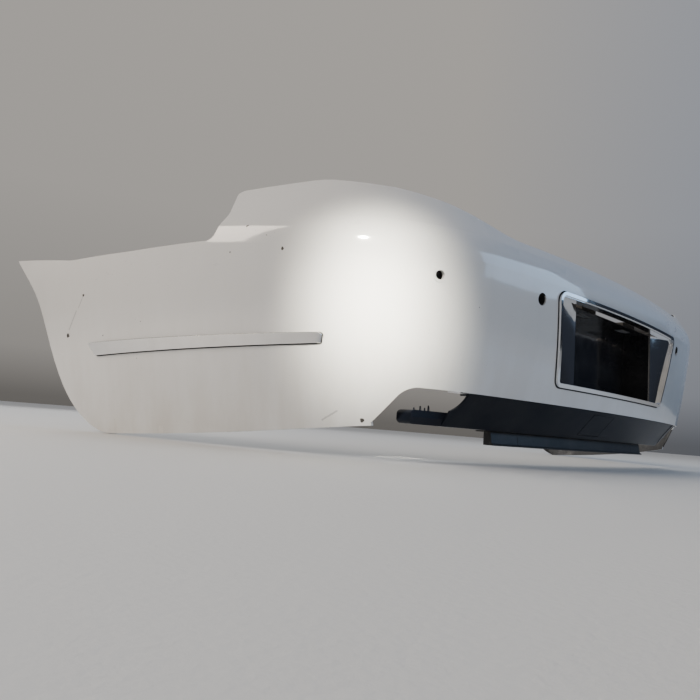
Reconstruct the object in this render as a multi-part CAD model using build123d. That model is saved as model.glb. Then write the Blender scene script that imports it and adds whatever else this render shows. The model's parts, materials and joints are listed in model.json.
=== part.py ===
from build123d import *
import os
from math import cos, degrees, radians, sin, sqrt, tan

# Rear bumper cover of a large saloon car, in millimetres.
# +X is the car's right, +Y its front and +Z is up. The outer rear face looks along -Y.
# A place on the cover is given by its length along the plan line from the middle of the car
# and by its height. The side of the cover that is modelled first is the car's left (-X).

os.makedirs("parts", exist_ok=True)

# ---- driving dimensions ------------------------------------------------------------------
WALL = 3.0                  # moulded wall of the cover and of the black lower parts
REAR_Y = -446.3             # plan line at the middle of the car
# plan line: a flat arc over the middle, a tight arc at the corner, a long arc along the wing
MID_RADIUS, MID_ANGLE = 3000.0, 8.9
CORNER_RADIUS, CORNER_ANGLE = 360.0, 48.1
WING_RADIUS, WING_ANGLE = 1600.0, 29.5
# upright section: a crowned face with a shoulder above it that leans towards the car
CROWN_RADIUS = 2200.0
CROWN_LEVEL = 240.0         # height where the section crosses the plan line
CROWN_LEAN = 7.9            # degrees from upright at that height, tucked in below
SHOULDER_Z = 335.0
SHOULDER_RADIUS = 80.0
SHOULDER_LEAN = 31.0
TOP_Z = 475.0
# heights of the trimmed edges
MID_TOP_Z = 401.0
MID_BOTTOM_Z = 119.0
SPLIT_Y = 140.0             # ahead of this, measured from the plan line, the side outline rules
# number plate surround, a trapezium with rounded corners
PLATE_TOP_Z, PLATE_BOTTOM_Z = 328.0, 152.0
PLATE_TOP_HALF, PLATE_BOTTOM_HALF = 288.0, 252.0
PLATE_CORNER = 16.0
RIM_WIDTH = 6.5
BOX_HALF, BOX_FRONT, BOX_DEPTH = 187.0, 20.0, 62.0
PLATE_HOLES = (178.0, 121.0)    # screw spacing of a 305 x 152 number plate
LAMP_X, LAMP_Y, LAMP_LENGTH, LAMP_WIDTH = 100.0, 30.0, 52.0, 20.0
# parking sensor holes
SENSOR_HOLE, RING_BORE = 23.0, 15.2
SENSOR_INNER = (333.0, 302.5)   # length along the plan line, height
SENSOR_OUTER = (569.0, 300.0)
# bright strip on each wing, in side view
STRIP_FRONT = (628.0, 154.0)
STRIP_REAR = (188.0, 184.0)
STRIP_FRONT_HEIGHT, STRIP_REAR_HEIGHT = 23.0, 17.0
STRIP_SLANT = 20.0
STRIP_CLIP = 7.0
# black lower parts
VALANCE_HALF = 470.0        # centre part, along the plan line
ARM_REACH, ARM_TIP_X = 620.0, 535.0
VALANCE_TOP_Z, VALANCE_BOTTOM_Z = 118.4, 61.0
ARM_TOP_Z = 85.0
ARM_LIP = 24.0               # depth of the arm's level lips
PORT_CORNER = 24.0          # inner corner of the exhaust opening
PORT_RIM = 21.0             # raised rim beside that corner
TRAY_BOTTOM_Z = 34.0
TRAY_SPLIT, TRAY_HALF = 270.0, 350.0
TRAY_DEPTH = 16.0
# tow eye flap in the valance
FLAP_CENTRE_X, FLAP_WIDTH, FLAP_HEIGHT = -25.0, 94.0, 58.0
FLAP_HINGE_IN, FLAP_HINGE_DEEP = 6.4, 2.7
FLAP_PIN, FLAP_BORE = 1.30, 1.38
VALANCE_RUN = 0.85          # how far the valance runs forward for each millimetre it drops
# holes and fasteners
FLANGE_PITCH, FLANGE_HOLE = 140.0, 7.0
SCREW_PITCH, SCREW = 118.0, 5.0
TRAY_CLIP_PITCH, TRAY_CLIP = 94.0, 5.6
ARCH_SCREW = 5.0
LIP_SHIFT = (-2.4, 1.6, 0)  # thickness of the arch lip, in side view
GUIDE_HOLES = (470.0, 600.0, 730.0)
BRACKET_HOLES = (660.0, 735.0, 810.0)
FIT = 0.3                   # clearance between neighbouring pieces
HUGE = 1200.0


# ---- plan line and section ---------------------------------------------------------------
def plan_arcs():
    """Start length, end length, radius, centre and start heading of each arc, middle outwards."""
    arcs = []
    start, heading, centre = 0.0, 0.0, (0.0, REAR_Y + MID_RADIUS)
    before = MID_RADIUS
    for radius, angle in (
        (MID_RADIUS, MID_ANGLE),
        (CORNER_RADIUS, CORNER_ANGLE),
        (WING_RADIUS, WING_ANGLE),
    ):
        shift = before - radius
        centre = (centre[0] - shift * sin(heading), centre[1] - shift * cos(heading))
        end = start + radius * radians(angle)
        arcs.append((start, end, radius, centre, heading))
        start, heading, before = end, heading + radians(angle), radius
    return arcs


ARCS = plan_arcs()
PLAN_END = ARCS[-1][1]
SHOULDER_START = ARCS[2][0]
CROWN_Z = CROWN_LEVEL + CROWN_RADIUS * sin(radians(CROWN_LEAN))
CROWN_OUT = -CROWN_RADIUS * cos(radians(CROWN_LEAN))


def face_out(z, offset=0.0):
    """How far the crowned face stands outside the plan line at height z."""
    return CROWN_OUT + sqrt((CROWN_RADIUS + offset) ** 2 - (z - CROWN_Z) ** 2)


def plan_point(length, out=0.0):
    """X and Y of a point that stands out from the plan line of the left side, and the heading."""
    for start, end, radius, centre, heading in ARCS:
        if length <= end or end == PLAN_END:
            angle = heading + (length - start) / radius
            reach = radius + out
            return centre[0] - reach * sin(angle), centre[1] - reach * cos(angle), angle


def face_plane(length, z, offset=0.0):
    """A plane on the face of the left side: Z out of the face, X along the plan line, Y up it."""
    x, y, angle = plan_point(length, face_out(z, offset))
    lean = (CROWN_Z - z) / CROWN_RADIUS
    normal = (-sin(angle) * cos(lean), -cos(angle) * cos(lean), -sin(lean))
    return Plane(origin=(x, y, z), x_dir=(cos(angle), -sin(angle), 0), z_dir=normal)


def swept(section, start, end):
    """A section, drawn as out and up, carried along the left side between two lengths."""
    pieces = []
    for arc_start, arc_end, radius, centre, heading in ARCS:
        low, high = max(start, arc_start), min(end, arc_end)
        if high - low < 0.01:
            continue
        angle = heading + (low - arc_start) / radius
        plane = Plane(
            origin=(centre[0], centre[1], 0),
            x_dir=(-sin(angle), -cos(angle), 0),
            z_dir=(-cos(angle), sin(angle), 0),
        )
        face = plane.location * Pos(radius, 0, 0) * section
        axis = Axis((centre[0], centre[1], 0), (0, 0, -1))
        pieces.append(revolve(face, axis, degrees((high - low) / radius)))
    whole = pieces[0]
    for piece in pieces[1:]:
        whole = whole + piece
    return whole


def both(shape):
    """The left side and its mirror image as one shape."""
    return shape + mirror(shape, about=Plane.YZ)


def swept_across(section, reach):
    """A section carried over the middle of the car, to the same length on both sides."""
    return both(swept(section, 0, reach))


def outline_face(points, radius=0.0):
    """A closed outline with its corners rounded."""
    wire = FilletPolyline(*points, radius=radius, close=True) if radius else Polyline(*points, close=True)
    return make_face(wire)


def rear_prism(face, near=-200.0, far=SPLIT_Y):
    """An outline drawn as X and Z, carried along Y. The depths are measured from the plan line."""
    plane = Plane(origin=(0, REAR_Y + near, 0), x_dir=(1, 0, 0), z_dir=(0, -1, 0))
    return extrude(plane.location * face, amount=-(far - near))


def side_prism(face, near=-HUGE, far=HUGE):
    """An outline drawn as Y from the plan line and Z, carried along X."""
    plane = Plane(origin=(near, REAR_Y, 0), x_dir=(0, 1, 0), z_dir=(1, 0, 0))
    return extrude(plane.location * face, amount=far - near)


def layer(inner, outer, low, high):
    """Section of a layer of the crowned face, between two offsets and two heights."""
    middle = (low + high) / 2
    outer_arc = ThreePointArc(
        (face_out(low, outer), low), (face_out(middle, outer), middle), (face_out(high, outer), high)
    )
    inner_arc = ThreePointArc(
        (face_out(high, inner), high), (face_out(middle, inner), middle), (face_out(low, inner), low)
    )
    edges = [outer_arc, Line(outer_arc @ 1, inner_arc @ 0), inner_arc, Line(inner_arc @ 1, outer_arc @ 0)]
    return make_face(edges)


def section_curve(offset):
    """Crowned face, shoulder arc and leaning shoulder, at one offset, from the foot to the top."""
    low, middle = -6.0, SHOULDER_Z / 2
    face = ThreePointArc(
        (face_out(low, offset), low),
        (face_out(middle, offset), middle),
        (face_out(SHOULDER_Z, offset), SHOULDER_Z),
    )
    lean = (CROWN_Z - SHOULDER_Z) / CROWN_RADIUS
    slope = radians(SHOULDER_LEAN)
    radius = SHOULDER_RADIUS + offset
    turn = [lean, (lean - slope) / 2, -slope]
    hub_out = face_out(SHOULDER_Z) - SHOULDER_RADIUS * cos(lean)
    hub_z = SHOULDER_Z + SHOULDER_RADIUS * sin(lean)
    points = [(hub_out + radius * cos(a), hub_z - radius * sin(a)) for a in turn]
    shoulder = ThreePointArc(face @ 1, points[1], points[2])
    rise = TOP_Z - points[2][1]
    slope_line = Line(shoulder @ 1, (points[2][0] - rise * tan(slope), TOP_Z))
    return [face, shoulder, slope_line]


def skin_section(thickness):
    """The whole upright section, as thick as asked for, measured inwards."""
    outer, inner = section_curve(0.0), section_curve(-thickness)
    ends = [Line(outer[0] @ 0, inner[0] @ 0), Line(outer[2] @ 1, inner[2] @ 1)]
    return make_face(outer + inner + ends)


def shoulder_out(z):
    """How far the leaning shoulder stands outside the plan line at height z."""
    lean = (CROWN_Z - SHOULDER_Z) / CROWN_RADIUS
    slope = radians(SHOULDER_LEAN)
    arc_out = face_out(SHOULDER_Z) - SHOULDER_RADIUS * (cos(lean) - cos(slope))
    arc_top = SHOULDER_Z + SHOULDER_RADIUS * (sin(lean) + sin(slope))
    return arc_out - (z - arc_top) * tan(slope)


# ---- outlines ----------------------------------------------------------------------------
def arch_curve():
    """Edge of the wheel arch, from its tip down to the lower corner of the wing."""
    return Spline(
        (908, 349), (850, 303), (804, 255), (772, 194), (734, 106), (700, 54), (655, 17), (606, 0)
    )


def wing_keep():
    """Side outline of each wing: raised tab at the corner, step, flat top, wheel arch."""
    arch = arch_curve()
    top = FilletPolyline(
        (SPLIT_Y, 454.4), (235, 467), (364, 446), (344, 390), (352, 342), (520, 331), (680, 326), (908, 349),
        radius=(120, 9, 30, 16, 200, 150),
    )
    bottom = Spline((606, 0), (366, 21), (SPLIT_Y, 53))
    close = Line((SPLIT_Y, 53), (SPLIT_Y, 454.4))
    return side_prism(make_face([top, arch, bottom, close]))


def rear_keep():
    """Rear outline: level top that rises to the corners, exhaust cut-outs in the lower edge."""
    half = [
        (0, MID_TOP_Z), (-395, MID_TOP_Z), (-520, 438), (-612, 457), (-720, 478), (-720, 53), (-619, 53),
        (-583, MID_BOTTOM_Z), (0, MID_BOTTOM_Z),
    ]
    face = make_face(
        [FilletPolyline(*half, radius=(200, 200, 200, 0.5, 0.5, 18, 34)), Line(half[-1], half[0])]
    )
    return both(rear_prism(face))


def plate_outline(grow=0.0, corner=PLATE_CORNER):
    """Trapezium of the number plate surround, grown all round."""
    side = grow * 1.02
    tilt = (PLATE_TOP_HALF - PLATE_BOTTOM_HALF) / (PLATE_TOP_Z - PLATE_BOTTOM_Z) * grow
    top, bottom = PLATE_TOP_HALF + side + tilt, PLATE_BOTTOM_HALF + side - tilt
    points = [
        (top, PLATE_TOP_Z + grow), (-top, PLATE_TOP_Z + grow),
        (-bottom, PLATE_BOTTOM_Z - grow), (bottom, PLATE_BOTTOM_Z - grow),
    ]
    return outline_face(points, corner + grow)


def strip_outline(grow=0.0):
    """Side outline of the bright strip, with a slanted front end."""
    front_y, front_z = STRIP_FRONT
    rear_y, rear_z = STRIP_REAR
    points = [
        (front_y + grow, front_z + STRIP_FRONT_HEIGHT / 2 + grow),
        (front_y - STRIP_SLANT + grow, front_z - STRIP_FRONT_HEIGHT / 2 - grow),
        (rear_y - grow, rear_z - STRIP_REAR_HEIGHT / 2 - grow),
        (rear_y - 4 - grow, rear_z + STRIP_REAR_HEIGHT / 2 + grow),
    ]
    return outline_face(points, 3.0 + max(grow, 0))


# ---- the painted cover -------------------------------------------------------------------
def sensor_sites():
    return {"inner": SENSOR_INNER, "outer": SENSOR_OUTER}


def lamp_windows():
    """Places of the two lamp windows in the roof of the plate box, as X and Y."""
    return [(side * LAMP_X, LAMP_Y) for side in (-1, 1)]


def flange_holes():
    """X of the holes along the top flange."""
    return [FLANGE_PITCH * (i - 2.5) for i in range(6)]


def build_skin(keep):
    skin = swept(skin_section(WALL), 0, PLAN_END) & keep
    # wheel arch lip, turned in
    arch = arch_curve()
    inside = arch.moved(Location(LIP_SHIFT))
    band = make_face([arch, Line(arch @ 1, inside @ 1), inside, Line(inside @ 0, arch @ 0)])
    deep = swept(skin_section(20.0), SHOULDER_START, PLAN_END)
    skin = skin + (deep & side_prism(band) & keep)
    # level flange along the top between the lamp corners
    shoulder = shoulder_out(MID_TOP_Z)
    flange = outline_face([
        (shoulder - 1.0, MID_TOP_Z - WALL), (shoulder - 36, MID_TOP_Z - WALL),
        (shoulder - 36, MID_TOP_Z), (shoulder - 2.5, MID_TOP_Z),
    ])
    skin = skin + swept(flange, 0, 400.0)
    # return along the lower edge that the valance hangs from
    low = face_out(MID_BOTTOM_Z)
    foot = outline_face([
        (low - 1.5, MID_BOTTOM_Z), (low - 32, MID_BOTTOM_Z),
        (low - 32, MID_BOTTOM_Z + WALL), (low - 1.5, MID_BOTTOM_Z + WALL),
    ])
    skin = skin + swept(foot, 0, 500.0)
    for length, z in sensor_sites().values():
        skin = skin - face_plane(length, z).location * Cylinder(SENSOR_HOLE / 2, 60)
    for place in strip_clip_sites():
        skin = skin - side_hole(place, STRIP_CLIP / 2 + 0.5)
    for place in arch_screw_sites():
        skin = skin - arch_hole(place, ARCH_SCREW / 2)
    skin = both(skin)
    for x in flange_holes():
        skin = skin - Pos(x, flange_line(x), MID_TOP_Z) * Cylinder(FLANGE_HOLE / 2, 20)
    for x in valance_screw_sites():
        skin = skin - Pos(x, foot_line(x), MID_BOTTOM_Z) * Cylinder(SCREW / 2 + 0.3, 20)
    return skin - rear_prism(plate_outline(-5.0), -60, 90)


def flange_line(x):
    """Y of the hole line in the top flange."""
    return REAR_Y + x * x / (2 * MID_RADIUS) - shoulder_out(MID_TOP_Z) + 20


def foot_line(x):
    """Y of the screw line in the lower return."""
    return REAR_Y + x * x / (2 * MID_RADIUS) - face_out(MID_BOTTOM_Z) + 18


def valance_screw_sites():
    return [SCREW_PITCH * (i - 3.5) for i in range(8)]


# ---- bright strip ------------------------------------------------------------------------
def strip_clip_sites():
    """Y and Z of the clips behind the bright strip."""
    front_y, front_z = STRIP_FRONT
    rear_y, rear_z = STRIP_REAR
    count = 5
    share = [(i + 0.6) / (count + 0.1) for i in range(count)]
    return [(rear_y + (front_y - rear_y) * t, rear_z + (front_z - rear_z) * t) for t in share]


def wing_place(y, z):
    """Length along the plan line of the point of the face that is at this Y and Z."""
    low, high = ARCS[1][0], PLAN_END
    for _ in range(40):
        middle = (low + high) / 2
        if plan_point(middle, face_out(z))[1] < REAR_Y + y:
            low = middle
        else:
            high = middle
    return low


def side_hole(place, radius):
    y, z = place
    return face_plane(wing_place(y, z), z).location * Cylinder(radius, 40)


def build_strip(grow, inner, outer):
    low, high = STRIP_FRONT[1] - 45, STRIP_REAR[1] + 45
    body = swept(layer(inner, outer, low, high), ARCS[1][0], PLAN_END)
    return body & side_prism(strip_outline(grow), -HUGE, -400)


def build_strip_clips():
    clips = []
    for y, z in strip_clip_sites():
        site = face_plane(wing_place(y, z), z).location
        stem = Cylinder(STRIP_CLIP / 2, 9)
        head = Pos(0, 0, -6.4) * Cone(STRIP_CLIP / 2 - 1.2, STRIP_CLIP / 2 + 1.6, 5)
        clips.append(site * Pos(0, 0, -4.6) * (stem + head))
    return Compound(children=clips)


# ---- number plate recess -----------------------------------------------------------------
def box_plane():
    """The mouth of the plate box: X across, Y up, Z out to the rear."""
    centre_z = (PLATE_TOP_Z + PLATE_BOTTOM_Z) / 2
    return Plane(origin=(0, REAR_Y + BOX_FRONT, centre_z), x_dir=(1, 0, 0), z_dir=(0, -1, 0))


def build_surround():
    reach = PLATE_TOP_HALF + 30
    rim = swept_across(layer(0.9, 5.0, 140, 334), reach)
    rim = rim & (rear_prism(plate_outline(), -60, 90) - rear_prism(plate_outline(-RIM_WIDTH), -60, 90))
    collar = swept_across(layer(-16.0, 1.5, 140, 334), reach)
    inner = plate_outline(-RIM_WIDTH - 2.0)
    collar = collar & (rear_prism(plate_outline(-RIM_WIDTH + 0.5), -60, 90) - rear_prism(inner, -60, 90))
    cheek = build_cheek() & rear_prism(plate_outline(-RIM_WIDTH - 0.3), -60, 90)
    return rim + collar + cheek + mirror(cheek, about=Plane.YZ)


def cheek_section(z, outer_x, outer_out, inner_y):
    """Section of the sloping cheek at one height, from the rim in to the mouth of the box."""
    outer_y = outer_x**2 / (2 * MID_RADIUS) - outer_out
    x = BOX_HALF + 0.6
    points = [(-outer_x, outer_y), (-x, inner_y), (-x, inner_y + 2.2), (-outer_x, outer_y + 2.2)]
    plane = Plane(origin=(0, REAR_Y, z), x_dir=(1, 0, 0), z_dir=(0, 0, 1))
    return plane.location * outline_face(points)


def build_cheek():
    """Bright sloping side of the recess, on the left."""
    grow = RIM_WIDTH + 1.0
    high, low = PLATE_TOP_Z - grow, PLATE_BOTTOM_Z + grow
    half = (PLATE_TOP_HALF - PLATE_BOTTOM_HALF) / (PLATE_TOP_Z - PLATE_BOTTOM_Z) * grow
    top = cheek_section(high, PLATE_TOP_HALF - grow - half, face_out(high) - 0.5, BOX_FRONT)
    bottom = cheek_section(low, PLATE_BOTTOM_HALF - grow + half, face_out(low) - 0.5, BOX_FRONT)
    return loft([bottom, top], ruled=True)


def build_box():
    height = PLATE_TOP_Z - PLATE_BOTTOM_Z - 2 * RIM_WIDTH - 5.0
    outer = Pos(0, 0, -BOX_DEPTH / 2 - 3) * Box(2 * BOX_HALF, height, BOX_DEPTH)
    inner = Pos(0, 0, -BOX_DEPTH / 2 - 3 + 2) * Box(2 * BOX_HALF - 4, height - 4, BOX_DEPTH)
    box = outer - inner
    for side_x in (-1, 1):
        for side_z in (-1, 1):
            place = Pos(side_x * PLATE_HOLES[0] / 2, side_z * PLATE_HOLES[1] / 2, -BOX_DEPTH)
            box = box - place * Cylinder(3.1, 16)
    for x, depth in lamp_windows():
        box = box - Pos(x, height / 2, -depth) * Box(LAMP_LENGTH, 20, LAMP_WIDTH)
    return box_plane().location * box


def box_roof():
    return (PLATE_TOP_Z - PLATE_BOTTOM_Z) / 2 - RIM_WIDTH - 2.5


def build_lamp(side):
    """Lamp housing over its window: a shallow box, open below, with a plug socket."""
    x, depth = side * LAMP_X, LAMP_Y
    roof = box_roof()
    shell = Box(LAMP_LENGTH + 10, 14, LAMP_WIDTH + 10)
    shell = shell - Pos(0, -2, 0) * Box(LAMP_LENGTH - 2, 14, LAMP_WIDTH - 2)
    shell = shell + Pos(side * 18, 10, 0) * Box(16, 9, 10)
    return box_plane().location * Pos(x, roof + 7.0 + FIT, -depth) * shell


def build_lens(side):
    x, depth = side * LAMP_X, LAMP_Y
    lens = Box(LAMP_LENGTH - 2.6, 2.4, LAMP_WIDTH - 2.6)
    return box_plane().location * Pos(x, box_roof() - 0.6, -depth) * lens


def build_lamp_bulb(side):
    x, depth = side * LAMP_X, LAMP_Y
    bulb = Cylinder(3.0, 26, rotation=(0, 90, 0))
    return box_plane().location * Pos(x, box_roof() + 7.0, -depth) * bulb


def build_inserts():
    """Nut inserts for the number plate screws, pressed into the back of the box."""
    back = -BOX_DEPTH - 3
    inserts = []
    for side_x in (-1, 1):
        for side_z in (-1, 1):
            x, z = side_x * PLATE_HOLES[0] / 2, side_z * PLATE_HOLES[1] / 2
            body = Cylinder(5.5, 9) - Cylinder(2.2, 12)
            inserts.append(box_plane().location * Pos(x, z, back - 4.5 - FIT) * body)
    return Compound(children=inserts)


def build_surround_clips():
    """Spring clips that hold the surround to the edge of the opening, along its top and foot."""
    clips = []
    for z, flip in ((PLATE_TOP_Z - RIM_WIDTH + 3.2, 1), (PLATE_BOTTOM_Z + RIM_WIDTH - 3.2, -1)):
        for i in range(4):
            x = 110.0 * (i - 1.5)
            y = REAR_Y + x * x / (2 * MID_RADIUS) - face_out(z) + 8.5
            leaf = Box(14, 9, 1.2) + Pos(0, 3.9, flip * 4) * Box(14, 1.2, 9)
            clips.append(Pos(x, y, z) * leaf)
    return Compound(children=clips)


# ---- parking sensors ---------------------------------------------------------------------
def build_sensor_holder(site):
    """Black blind cup welded behind a sensor hole, with a flat flange and two latch ears."""
    length, z = site
    flange = Pos(0, 0, -2.6) * Cylinder(19, 2.0)
    cup = Pos(0, 0, -10.6) * Cylinder(14.5, 16)
    bore = Pos(0, 0, -7) * Cylinder(SENSOR_HOLE / 2 + 0.6, 20)
    ears = Pos(0, 0, -14) * Box(38, 7, 6)
    body = flange + cup + ears - bore
    return face_plane(length, z, -WALL - FIT).location * Pos(0, 0, 1) * body


def build_sensor_ring(site):
    """Painted retaining ring that lines an outer sensor hole."""
    length, z = site
    lip = Pos(0, 0, 0.9) * (Cylinder(SENSOR_HOLE / 2 + 0.9, 1.2) - Cylinder(RING_BORE / 2, 3))
    sleeve = Pos(0, 0, -3.2) * (Cylinder(SENSOR_HOLE / 2 - FIT, 7.2) - Cylinder(RING_BORE / 2, 9))
    return face_plane(length, z).location * (lip + sleeve)


# ---- black lower parts -------------------------------------------------------------------
def valance_outs():
    top = face_out(MID_BOTTOM_Z) - 3.5
    return top, top - (VALANCE_TOP_Z - VALANCE_BOTTOM_Z) * VALANCE_RUN


def valance_sheet(thickness):
    """Section of the sloping face of the valance, with its outer side raised by a thickness."""
    top, bottom = valance_outs()
    return outline_face([
        (top + thickness, VALANCE_TOP_Z), (bottom + thickness, VALANCE_BOTTOM_Z),
        (bottom - 3.6, VALANCE_BOTTOM_Z), (top - 3.6, VALANCE_TOP_Z),
    ])


def port_disc(radius):
    """Prism of a disc around the inner corner of the exhaust opening, on the left."""
    centre = (-VALANCE_HALF - PORT_CORNER + 3, ARM_TOP_Z + PORT_CORNER)
    return rear_prism(Pos(*centre) * Circle(radius), 0, 300)


def build_port_corner():
    """Rounded web between the arm and the valance, with the raised rim beside it."""
    low, high = VALANCE_BOTTOM_Z, ARM_TOP_Z + PORT_CORNER
    web = swept(valance_sheet(0), VALANCE_HALF - 1, VALANCE_HALF + PORT_CORNER)
    rim = swept(valance_sheet(1.2), VALANCE_HALF - PORT_RIM, VALANCE_HALF + PORT_CORNER)
    band = outline_face([(-2 * VALANCE_HALF, low), (0, low), (0, high), (-2 * VALANCE_HALF, high)])
    web = (web & rear_prism(band, 0, 300)) - port_disc(PORT_CORNER)
    return web + (rim & port_disc(PORT_CORNER + PORT_RIM)) - port_disc(PORT_CORNER)


def build_arm():
    """Arm under the exhaust opening: a bowed face with level lips and a rounded, closed end."""
    bottom = valance_outs()[1]
    middle = (ARM_TOP_Z + VALANCE_BOTTOM_Z) / 2
    outer = [(bottom + 2, ARM_TOP_Z), (bottom + 6, middle), (bottom, VALANCE_BOTTOM_Z)]
    inner = [
        (bottom - 2, VALANCE_BOTTOM_Z + WALL), (bottom + 2.8, middle), (bottom - 0.5, ARM_TOP_Z - WALL)
    ]
    back = bottom - ARM_LIP
    open_section = outline_face(
        [(back, ARM_TOP_Z), *outer, (back, VALANCE_BOTTOM_Z), (back, VALANCE_BOTTOM_Z + WALL)]
        + inner + [(back, ARM_TOP_Z - WALL)]
    )
    full_section = outline_face([(back, ARM_TOP_Z), *outer, (back, VALANCE_BOTTOM_Z)])
    low, high, tip = VALANCE_BOTTOM_Z, ARM_TOP_Z, -ARM_TIP_X
    end_slab = outline_face([(tip, low), (tip + WALL, low), (tip + WALL, high), (tip, high)])
    end_wall = swept(full_section, VALANCE_HALF, ARM_REACH) & rear_prism(end_slab, 0, 300)
    arm = swept(open_section, VALANCE_HALF - 1, ARM_REACH) + end_wall
    round_end = outline_face([(0, low), (tip, low), (tip, high), (0, high)], 8.0)
    return arm & rear_prism(round_end, 0, 300)


def build_valance():
    top, bottom = valance_outs()
    face = [
        (top - 26, VALANCE_TOP_Z), (top, VALANCE_TOP_Z),
        (bottom, VALANCE_BOTTOM_Z), (bottom - 40, VALANCE_BOTTOM_Z),
    ]
    inner = [
        (bottom - 40, VALANCE_BOTTOM_Z + WALL), (bottom - 1.5, VALANCE_BOTTOM_Z + WALL),
        (top - 5.2, VALANCE_TOP_Z - WALL), (top - 26, VALANCE_TOP_Z - WALL),
    ]
    body = swept(outline_face(face + inner), 0, VALANCE_HALF)
    body = both(body + build_port_corner() + build_arm())
    body = body - flap_plane().location * Box(FLAP_WIDTH, FLAP_HEIGHT, 40)
    for x in valance_screw_sites():
        body = body - Pos(x, foot_line(x), VALANCE_TOP_Z) * Cylinder(SCREW / 2 + 0.2, 20)
    for hole in tray_clip_holes():
        body = body - hole
    return body


def flap_plane():
    """Face of the valance at the tow eye opening: X across, Y up the slope, Z out of the face."""
    top, bottom = valance_outs()
    z = (VALANCE_TOP_Z + VALANCE_BOTTOM_Z) / 2
    y = REAR_Y + FLAP_CENTRE_X**2 / (2 * MID_RADIUS) - (top + bottom) / 2
    run, rise = (top - bottom), VALANCE_TOP_Z - VALANCE_BOTTOM_Z
    size = sqrt(run * run + rise * rise)
    return Plane(origin=(FLAP_CENTRE_X, y, z), x_dir=(1, 0, 0), z_dir=(0, -rise / size, -run / size))


def build_flap():
    """Cover plate of the tow eye, with stiffening ribs and two hooks that turn on the pin."""
    low = -FLAP_HEIGHT / 2
    plate = Pos(0, 0.4, -1.4) * Box(FLAP_WIDTH - 1.4, FLAP_HEIGHT - 2.2, 2.6)
    ribs = [Pos(0, y, -5.2) * Box(FLAP_WIDTH - 24, 2, 5) for y in (-6, 8)]
    hooks = [Pos(x, low + FLAP_HINGE_IN, -3.6) * Box(7, 6, 3) for x in (-28, 28)]
    bore = flap_axle(FLAP_BORE, 100)
    return flap_plane().location * (plate + ribs + hooks - bore)


def flap_axle(radius, length):
    """A cylinder on the hinge line of the flap, just inside its lower edge."""
    place = Pos(0, -FLAP_HEIGHT / 2 + FLAP_HINGE_IN, -FLAP_HINGE_DEEP)
    return place * Cylinder(radius, length, rotation=(0, 90, 0))


def build_flap_hinge():
    """Hinge pin of the flap on two cranked arms that rise from behind the lower edge."""
    low = -FLAP_HEIGHT / 2
    hinge = low + FLAP_HINGE_IN
    arm = outline_face([
        (hinge + 4.3, -FLAP_HINGE_DEEP - 0.3), (hinge + 0.3, -FLAP_HINGE_DEEP - 0.3),
        (hinge + 0.3, -8.8), (low - 1.5, -8.8), (low - 1.5, -3.9), (low - 4.2, -3.9),
        (low - 4.2, -10.8), (hinge + 4.3, -10.8),
    ])
    upright = Plane(origin=(0, 0, 0), x_dir=(0, 1, 0), z_dir=(1, 0, 0)).location
    arms = [Pos(x, 0, 0) * upright * extrude(arm, amount=2.5, both=True) for x in (-38, 38)]
    return flap_plane().location * (flap_axle(FLAP_PIN, 80) + arms)


def tray_section():
    front = valance_outs()[1] - 10
    return outline_face([
        (front - 36, VALANCE_BOTTOM_Z - FIT), (front, VALANCE_BOTTOM_Z - FIT),
        (front + 4, TRAY_BOTTOM_Z + 4), (front + 8, TRAY_BOTTOM_Z + 2.5),
        (front + 8, TRAY_BOTTOM_Z), (front - TRAY_DEPTH, TRAY_BOTTOM_Z),
        (front - TRAY_DEPTH, TRAY_BOTTOM_Z + 2.5), (front + 1, TRAY_BOTTOM_Z + 2.5),
        (front - 2.6, VALANCE_BOTTOM_Z - 2.8), (front - 36, VALANCE_BOTTOM_Z - 2.8),
    ])


def build_tray_end():
    end = swept(tray_section(), TRAY_SPLIT + 0.75, TRAY_HALF)
    front = valance_outs()[1] - 10
    wall = outline_face([
        (front - TRAY_DEPTH, VALANCE_BOTTOM_Z - FIT), (front, VALANCE_BOTTOM_Z - FIT),
        (front + 3.5, TRAY_BOTTOM_Z + 1), (front - TRAY_DEPTH, TRAY_BOTTOM_Z + 1),
    ])
    end = end + swept(wall, TRAY_HALF - 2.5, TRAY_HALF)
    for hole in tray_clip_holes():
        end = end - hole
    return end


def build_tray_centre():
    tray = swept_across(tray_section(), TRAY_SPLIT)
    for hole in tray_clip_holes():
        tray = tray - hole
    return tray


# ---- carriers behind the cover -----------------------------------------------------------
def build_side_guide(keep):
    """Slide rail behind the top of each wing, with a ledge that hooks the body side."""
    rail = swept(layer(-6.2, -WALL - FIT, 282, 320), 1010, PLAN_END)
    ledge = swept(layer(-26.0, -6.0, 300, 303), 1030, 1440)
    inside = side_prism(outline_face([(0, 0), (800, 0), (800, 500), (0, 500)]), -HUGE, 0)
    guide = (rail + ledge) & inside & keep
    for y in GUIDE_HOLES:
        length = wing_place(y, 301.5)
        x, hole_y, _ = plan_point(length, face_out(301.5) - 16)
        guide = guide - Pos(x, hole_y, 301.5) * Cylinder(3.2, 12)
    return guide


def build_corner_bracket():
    """Lamp corner bracket: a leaning web behind the shoulder with a level shelf."""
    def web_out(z, depth):
        return shoulder_out(z) - depth / cos(radians(SHOULDER_LEAN))
    web = outline_face([
        (web_out(400, WALL + FIT), 400), (web_out(432, WALL + FIT), 432),
        (web_out(432, WALL + 2.8), 432), (web_out(400, WALL + 2.8), 400),
    ])
    shelf = outline_face([
        (web_out(404, WALL + 2), 404), (web_out(404, WALL + 48), 404),
        (web_out(404, WALL + 48), 406.5), (web_out(406.5, WALL + 2), 406.5),
    ])
    bracket = swept(web, 610, 860) + swept(shelf, 625, 845)
    for length in BRACKET_HOLES:
        x, y, _ = plan_point(length, web_out(405, WALL + 28))
        bracket = bracket - Pos(x, y, 405) * Cylinder(3.3, 12)
    return bracket


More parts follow.
